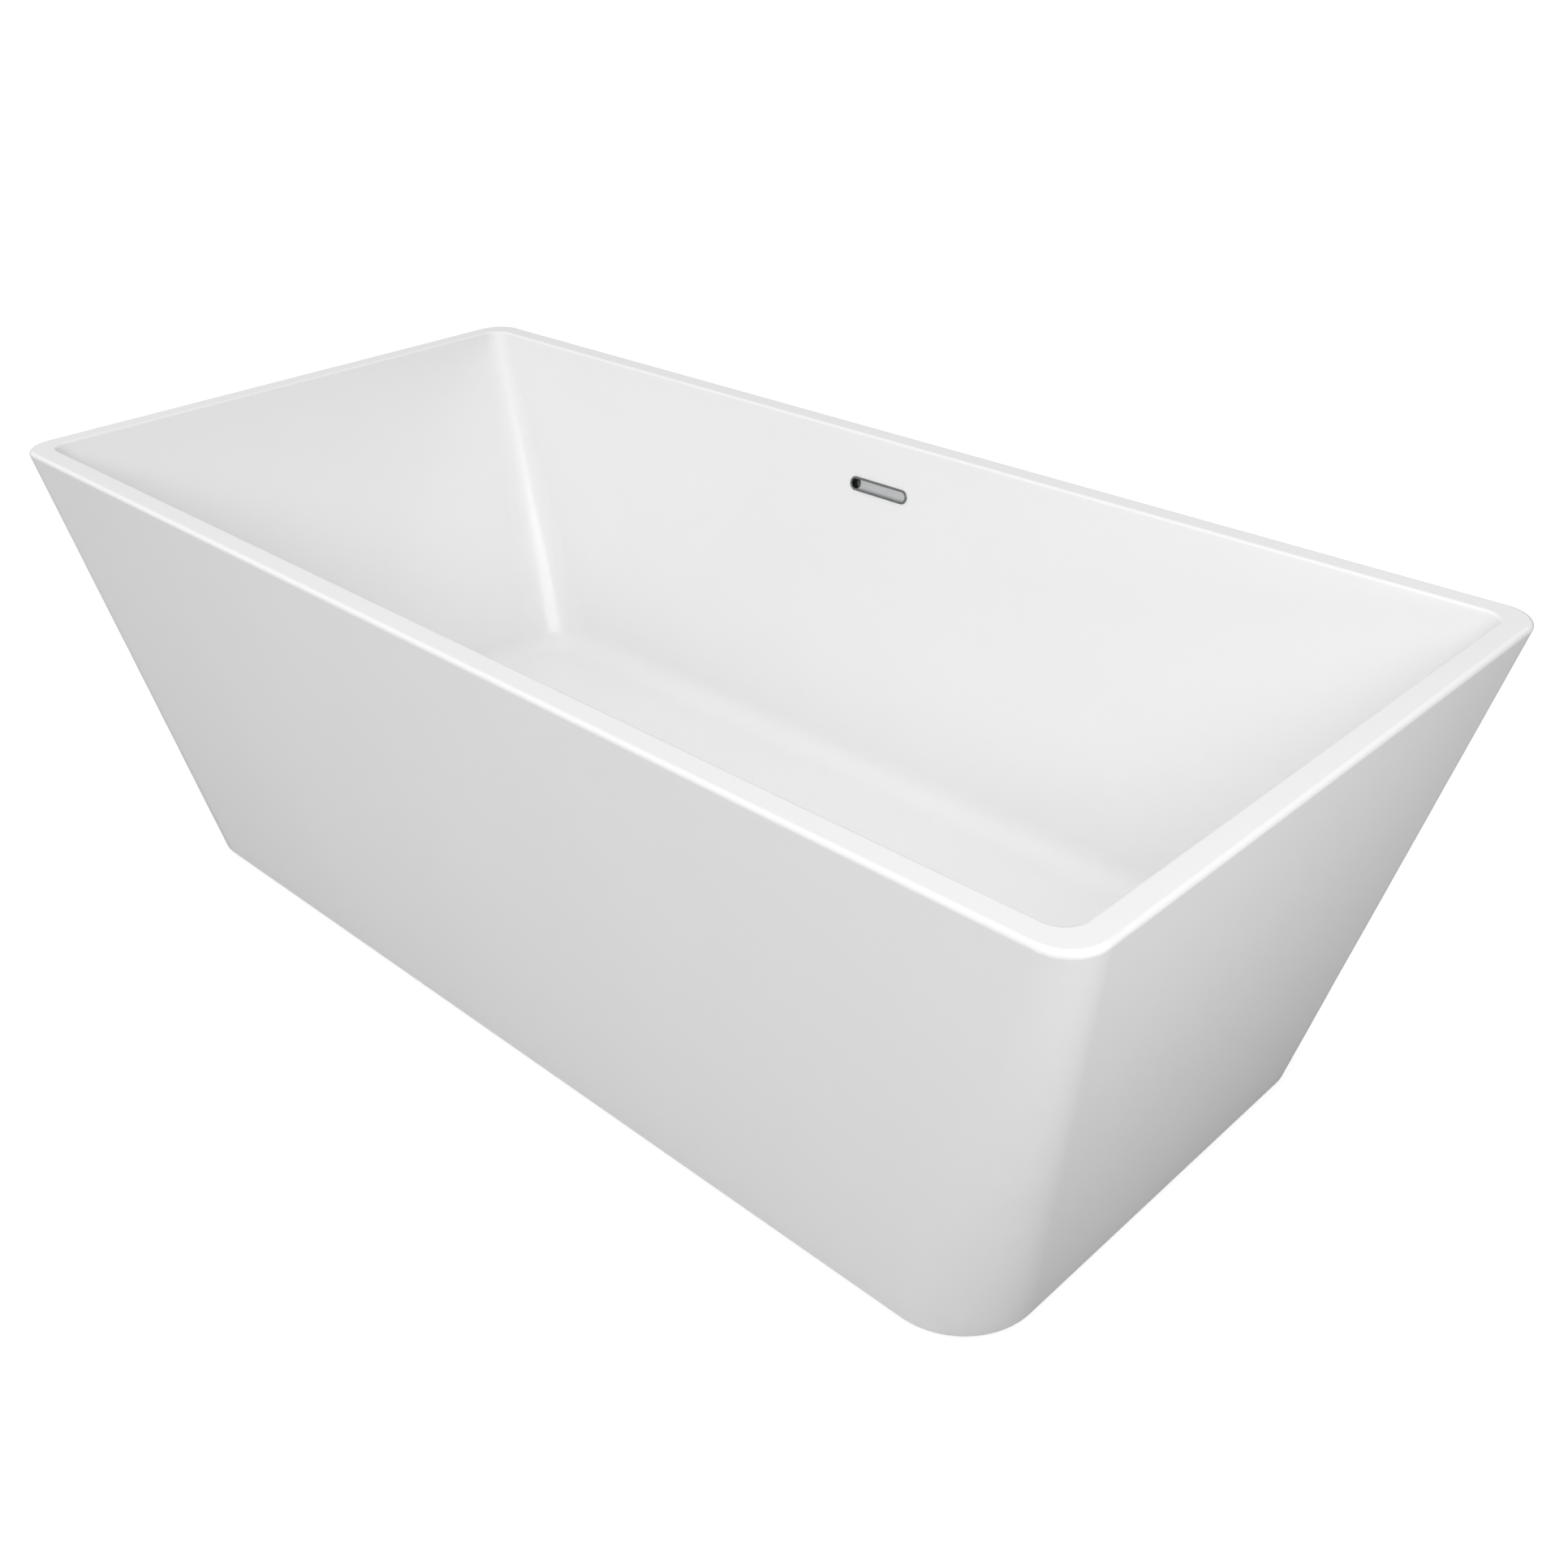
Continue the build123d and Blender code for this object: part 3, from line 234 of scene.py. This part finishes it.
def hose_plastic():
    """Flexible grey hose."""
    s = Shader("hose_plastic")
    marks = s.noise(45.0, detail=4.0)
    s.colour(s.ramp(marks, (0.3, (0.33, 0.34, 0.35)), (0.7, (0.40, 0.41, 0.42))))
    s.rough(marks, 0.35, 0.5)
    s.bump((marks, 0.0003))
    return s.material


def polished_chrome(name, dark, light, smoothest, roughest):
    """Polished chrome with hairline wipe marks."""
    s = Shader(name)
    wipe = s.noise(1.0, detail=3.0, vector=s.stretched((60.0, 500.0, 500.0)))
    s.colour(s.ramp(wipe, (0.3, dark), (0.7, light)))
    s.rough(wipe, smoothest, roughest)
    s.bump((wipe, 0.00001))
    s.set(Metallic=1.0)
    return s.material


def satin_chrome():
    """Satin chrome of the overflow's tray."""
    s = Shader("satin_chrome")
    brushed = s.noise(1.0, detail=3.0, vector=s.stretched((40.0, 1500.0, 1500.0)))
    s.colour(s.ramp(brushed, (0.3, (0.76, 0.77, 0.78)), (0.7, (0.84, 0.85, 0.86))))
    s.rough(brushed, 0.25, 0.4)
    s.bump((brushed, 0.00002))
    s.set(Metallic=1.0)
    return s.material


def brass():
    """Turned brass with fine tool lines round its axis."""
    s = Shader("brass")
    lines = s.waves(600.0, 0.3, "Z")
    s.colour(s.ramp(s.noise(80.0), (0.3, (0.52, 0.36, 0.14)), (0.7, (0.66, 0.48, 0.21))))
    s.rough(lines, 0.2, 0.34)
    s.bump((lines, 0.00002))
    s.set(Metallic=1.0)
    return s.material


def rubber(name, dark, light):
    """Moulded rubber with a dusty bloom."""
    s = Shader(name)
    bloom = s.noise(150.0, detail=4.0)
    s.colour(s.ramp(bloom, (0.3, dark), (0.7, light)))
    s.rough(bloom, 0.6, 0.8)
    s.bump((bloom, 0.0001))
    return s.material


MATERIALS = {
    "acrylic_white": acrylic(),
    "laminate": laminate(),
    "resin": resin(),
    "plywood": plywood(),
    "galvanised_steel": galvanised(),
    "zinc_steel": zinc(),
    "stainless": stainless(),
    "black_plastic": moulded_plastic("black_plastic", (0.018, 0.018, 0.019), (0.026, 0.026, 0.027)),
    "hose_plastic": hose_plastic(),
    "chrome": polished_chrome("chrome", (0.50, 0.51, 0.52), (0.56, 0.57, 0.58), 0.05, 0.12),
    "satin_chrome": satin_chrome(),
    "brass": brass(),
    "rubber": rubber("rubber", (0.020, 0.020, 0.020), (0.032, 0.032, 0.031)),
    "clear_rubber": rubber("clear_rubber", (0.55, 0.55, 0.53), (0.66, 0.66, 0.63)),
}

# the overflow's ring is chrome painted darker than the other chrome, a painted reflection of the
# shade inside its slot, and the housing is grey plastic; both look different from the other pieces of
# their slots
OWN_MATERIALS = {
    "overflow_trim": polished_chrome(
        # painted shade: these dark colours stand in for the shaded slot the ring reflects
        "chrome_painted_shade", (0.22, 0.225, 0.23), (0.28, 0.285, 0.29), 0.12, 0.22
    ),
    "overflow_housing": moulded_plastic("grey_plastic", (0.50, 0.51, 0.51), (0.56, 0.57, 0.57)),
}

for part in frame["record"]["subparts"]:
    mesh = nodes[part["node"]].data
    mesh.materials.clear()
    mesh.materials.append(OWN_MATERIALS.get(part["node"], MATERIALS[part["material_slot"]]))

# ---------------------------------------------------------------- threaded studs of the feet

# lengths in metres, heights above the floor with the feet at rest
STUD_RADIUS = 0.006
STUD_BOTTOM = 0.0052
STUD_TOP = 0.104
STUD_CHAMFER = 0.0008
STUD_SIDES = 32
COLLAR_BOTTOM = 0.0152
COLLAR_TOP = 0.0212
COLLAR_CORNER = 0.01097  # from the axis to a corner of the hexagon
COLLAR_BEVEL = 0.0006
COLLAR_SIDES = 6
NECK_BOTTOM = COLLAR_TOP + 0.0004  # the shank narrows to the thread's root from here
NECK_TOP = COLLAR_TOP + 0.001
THREAD_ROOT = 0.0051  # radius between the ridges
THREAD_PITCH = 0.00175
THREAD_START = COLLAR_TOP + 0.0012
THREAD_END = STUD_TOP - 0.0016
THREAD_SINK = 0.0001  # how far the ridge's foot lies inside the shank
THREAD_FOOT = 0.4  # half the width of the ridge's foot, as a share of the pitch
THREAD_CREST = 0.06  # half the width of its crest, likewise
THREAD_FADE = 0.02  # share of the thread over which its ridge rises at either end


def turned(outline, sides):
    """Vertices and faces of a closed form turned round Z, from its rings' radii and heights."""
    vertices = []
    for radius, height in outline:
        for side in range(sides):
            angle = math.tau * side / sides
            vertices.append((radius * math.cos(angle), radius * math.sin(angle), height))
    faces = []
    for ring in range(len(outline) - 1):
        for side in range(sides):
            after = (side + 1) % sides
            low = ring * sides
            faces.append((low + side, low + after, low + sides + after, low + sides + side))
    faces.append(tuple(reversed(range(sides))))
    faces.append(tuple(range((len(outline) - 1) * sides, len(outline) * sides)))
    return vertices, faces


def thread_ridge(start, end):
    """Vertices and faces of a right-hand thread's ridge, wound round the stud between two heights."""
    steps = round((end - start) / THREAD_PITCH * STUD_SIDES)
    vertices = []
    for step in range(steps + 1):
        angle = math.tau * step / STUD_SIDES
        height = start + THREAD_PITCH * step / STUD_SIDES
        share = min(1.0, step / steps / THREAD_FADE, (1.0 - step / steps) / THREAD_FADE)
        crest = THREAD_ROOT + (STUD_RADIUS - THREAD_ROOT) * share
        foot = THREAD_ROOT - THREAD_SINK
        section = (
            (foot, -THREAD_FOOT * THREAD_PITCH),
            (crest, -THREAD_CREST * THREAD_PITCH),
            (crest, THREAD_CREST * THREAD_PITCH),
            (foot, THREAD_FOOT * THREAD_PITCH),
        )
        for radius, rise in section:
            vertices.append((radius * math.cos(angle), radius * math.sin(angle), height + rise))
    faces = [(0, 1, 2, 3), (4 * steps + 3, 4 * steps + 2, 4 * steps + 1, 4 * steps)]
    for step in range(steps):
        for corner in range(4):
            after = (corner + 1) % 4
            low = 4 * step
            faces.append((low + corner, low + 4 + corner, low + 4 + after, low + after))
    return vertices, faces


def stud_mesh():
    """Stud with a smooth end for the pad, a hexagon collar and a threaded shank."""
    shank = (
        (STUD_RADIUS - STUD_CHAMFER, STUD_BOTTOM),
        (STUD_RADIUS, STUD_BOTTOM + STUD_CHAMFER),
        (STUD_RADIUS, NECK_BOTTOM),
        (THREAD_ROOT, NECK_TOP),
        (THREAD_ROOT, STUD_TOP - STUD_CHAMFER / 2),
        (THREAD_ROOT - STUD_CHAMFER / 2, STUD_TOP),
    )
    collar = (
        (COLLAR_CORNER - COLLAR_BEVEL, COLLAR_BOTTOM),
        (COLLAR_CORNER, COLLAR_BOTTOM + COLLAR_BEVEL),
        (COLLAR_CORNER, COLLAR_TOP - COLLAR_BEVEL),
        (COLLAR_CORNER - COLLAR_BEVEL, COLLAR_TOP),
    )
    vertices = []
    faces = []
    for more, more_faces in (
        turned(shank, STUD_SIDES),
        turned(collar, COLLAR_SIDES),
        thread_ridge(THREAD_START, THREAD_END),
    ):
        offset = len(vertices)
        vertices += more
        faces += [tuple(offset + corner for corner in face) for face in more_faces]
    mesh = bpy.data.meshes.new("threaded_stud")
    mesh.from_pydata(vertices, [], faces)
    mesh.materials.append(MATERIALS["zinc_steel"])
    return mesh


def centre(node):
    """Middle of a node's box, seen from above."""
    corners = [node.matrix_world @ Vector(corner) for corner in node.bound_box]
    middle = sum(corners, Vector()) / len(corners)
    return middle.x, middle.y


def make_studs():
    """Put a threaded stud in the place of each plain one."""
    for number in (1, 2, 3, 4):
        plain = f"foot_stud_{number}"
        x, y = centre(nodes[plain])
        stud = bpy.data.objects.new(f"threaded_stud_{number}", stud_mesh())
        bpy.context.scene.collection.objects.link(stud)
        stud.location = (x, y, 0.0)
        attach(stud, plain)
        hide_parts(plain)


make_studs()

# ---------------------------------------------------------------- stage, light and camera

FLOOR_HALF = 60.0  # half of the floor's side, in metres, so that it fills every view
FLOOR_DARK = (0.325, 0.325, 0.325)
FLOOR_LIGHT = (0.335, 0.335, 0.335)
FLOOR_GLOW = 0.75

# the dome's light is the strength at the horizon, plus what each direction adds or takes away
DOME_HORIZON = 0.28
DOME_RISE = 0.82  # added straight up, towards +Z
DOME_END = -0.17  # added towards the near end, +X; negative, so that end is darker
DOME_BACK = -0.2  # added towards the back, +Y; negative, so the back is darker

SOFTBOXES = (
    # name, place, what it looks at, width and height, watts
    ("front_softbox", (-0.6, -1.6, 0.45), (-0.6, -0.4, 0.4), (2.4, 0.3), 2.6),
    ("high_softbox", (2.8, -3.7, 3.2), (-0.2, 0.1, 0.4), (3.2, 2.0), 92.0),
    ("end_softbox", (1.55, -0.15, 0.6), (0.85, 0.0, 0.5), (1.0, 0.25), 2.4),
)


def make_floor():
    """Plain pale floor with a glow of its own, large enough to fill every view."""
    mesh = bpy.data.meshes.new("floor")
    half = FLOOR_HALF
    corners = [(-half, -half, 0.0), (half, -half, 0.0), (half, half, 0.0), (-half, half, 0.0)]
    mesh.from_pydata(corners, [], [(0, 1, 2, 3)])
    floor = bpy.data.objects.new("floor", mesh)
    bpy.context.scene.collection.objects.link(floor)
    s = Shader("floor")
    s.colour(s.ramp(s.noise(0.6, detail=1.0), (0.3, FLOOR_DARK), (0.7, FLOOR_LIGHT)))
    s.set(Roughness=0.9, Specular_IOR_Level=0.0, Emission_Color=(1.0, 1.0, 1.0, 1.0))
    # seen directly the floor is near white, while it throws less light up at the tub's sides
    seen = s.add("ShaderNodeLightPath")
    glow = s.add("ShaderNodeMath", operation="MULTIPLY")
    s.join(seen.outputs["Is Camera Ray"], glow.inputs[0])
    glow.inputs[1].default_value = FLOOR_GLOW
    s.join(glow.outputs["Value"], s.bsdf.inputs["Emission Strength"])
    mesh.materials.append(s.material)


def make_softbox(name, place, target, size, power):
    """Rectangular lamp that looks at a target and is not seen itself."""
    light = bpy.data.lights.new(name, "AREA")
    light.shape = "RECTANGLE"
    light.size = size[0]
    light.size_y = size[1]
    light.energy = power
    lamp = bpy.data.objects.new(name, light)
    bpy.context.scene.collection.objects.link(lamp)
    lamp.visible_camera = False
    lamp.location = place
    lamp.rotation_euler = (Vector(target) - Vector(place)).to_track_quat("-Z", "Y").to_euler()


def make_world():
    """Studio dome of soft light, brightest overhead. The floor hides it below the horizon."""
    world = bpy.data.worlds.new("studio")
    world.use_nodes = True
    bpy.context.scene.world = world
    tree = world.node_tree
    background = tree.nodes["Background"]
    background.inputs["Color"].default_value = (1.0, 1.0, 1.0, 1.0)
    place = tree.nodes.new("ShaderNodeTexCoord").outputs["Generated"]
    direction = tree.nodes.new("ShaderNodeSeparateXYZ")
    tree.links.new(place, direction.inputs[0])
    total = None
    for axis, slope in (("Z", DOME_RISE), ("X", DOME_END), ("Y", DOME_BACK)):
        light = tree.nodes.new("ShaderNodeMath")
        light.operation = "MULTIPLY_ADD"
        tree.links.new(direction.outputs[axis], light.inputs[0])
        light.inputs[1].default_value = slope
        if total:
            tree.links.new(total, light.inputs[2])
        else:
            light.inputs[2].default_value = DOME_HORIZON
        total = light.outputs["Value"]
    tree.links.new(total, background.inputs["Strength"])


def make_camera():
    """Camera at the height and angle the tub is seen from, with a very slight roll."""
    azimuth = math.radians(44.68)
    elevation = math.radians(30.23)
    roll = math.radians(-1.267)
    distance = 1.9984
    target = Vector((0.1659, -0.0013, 0.29))
    back = Vector(
        (
            math.sin(azimuth) * math.cos(elevation),
            -math.cos(azimuth) * math.cos(elevation),
            math.sin(elevation),
        )
    )
    right = Vector((0, 0, 1)).cross(back).normalized()
    up = back.cross(right)
    rolled_right = right * math.cos(roll) + up * math.sin(roll)
    rolled_up = up * math.cos(roll) - right * math.sin(roll)
    data = bpy.data.cameras.new("camera")
    data.lens = 38.63
    data.sensor_width = 36.0
    data.clip_end = 200.0
    camera = bpy.data.objects.new("camera", data)
    bpy.context.scene.collection.objects.link(camera)
    turn = Matrix((rolled_right, rolled_up, back)).transposed()
    camera.matrix_world = Matrix.Translation(target + back * distance) @ turn.to_4x4()
    bpy.context.scene.camera = camera


make_floor()
make_world()
for softbox in SOFTBOXES:
    make_softbox(*softbox)
make_camera()
bpy.context.scene.view_settings.view_transform = "Standard"
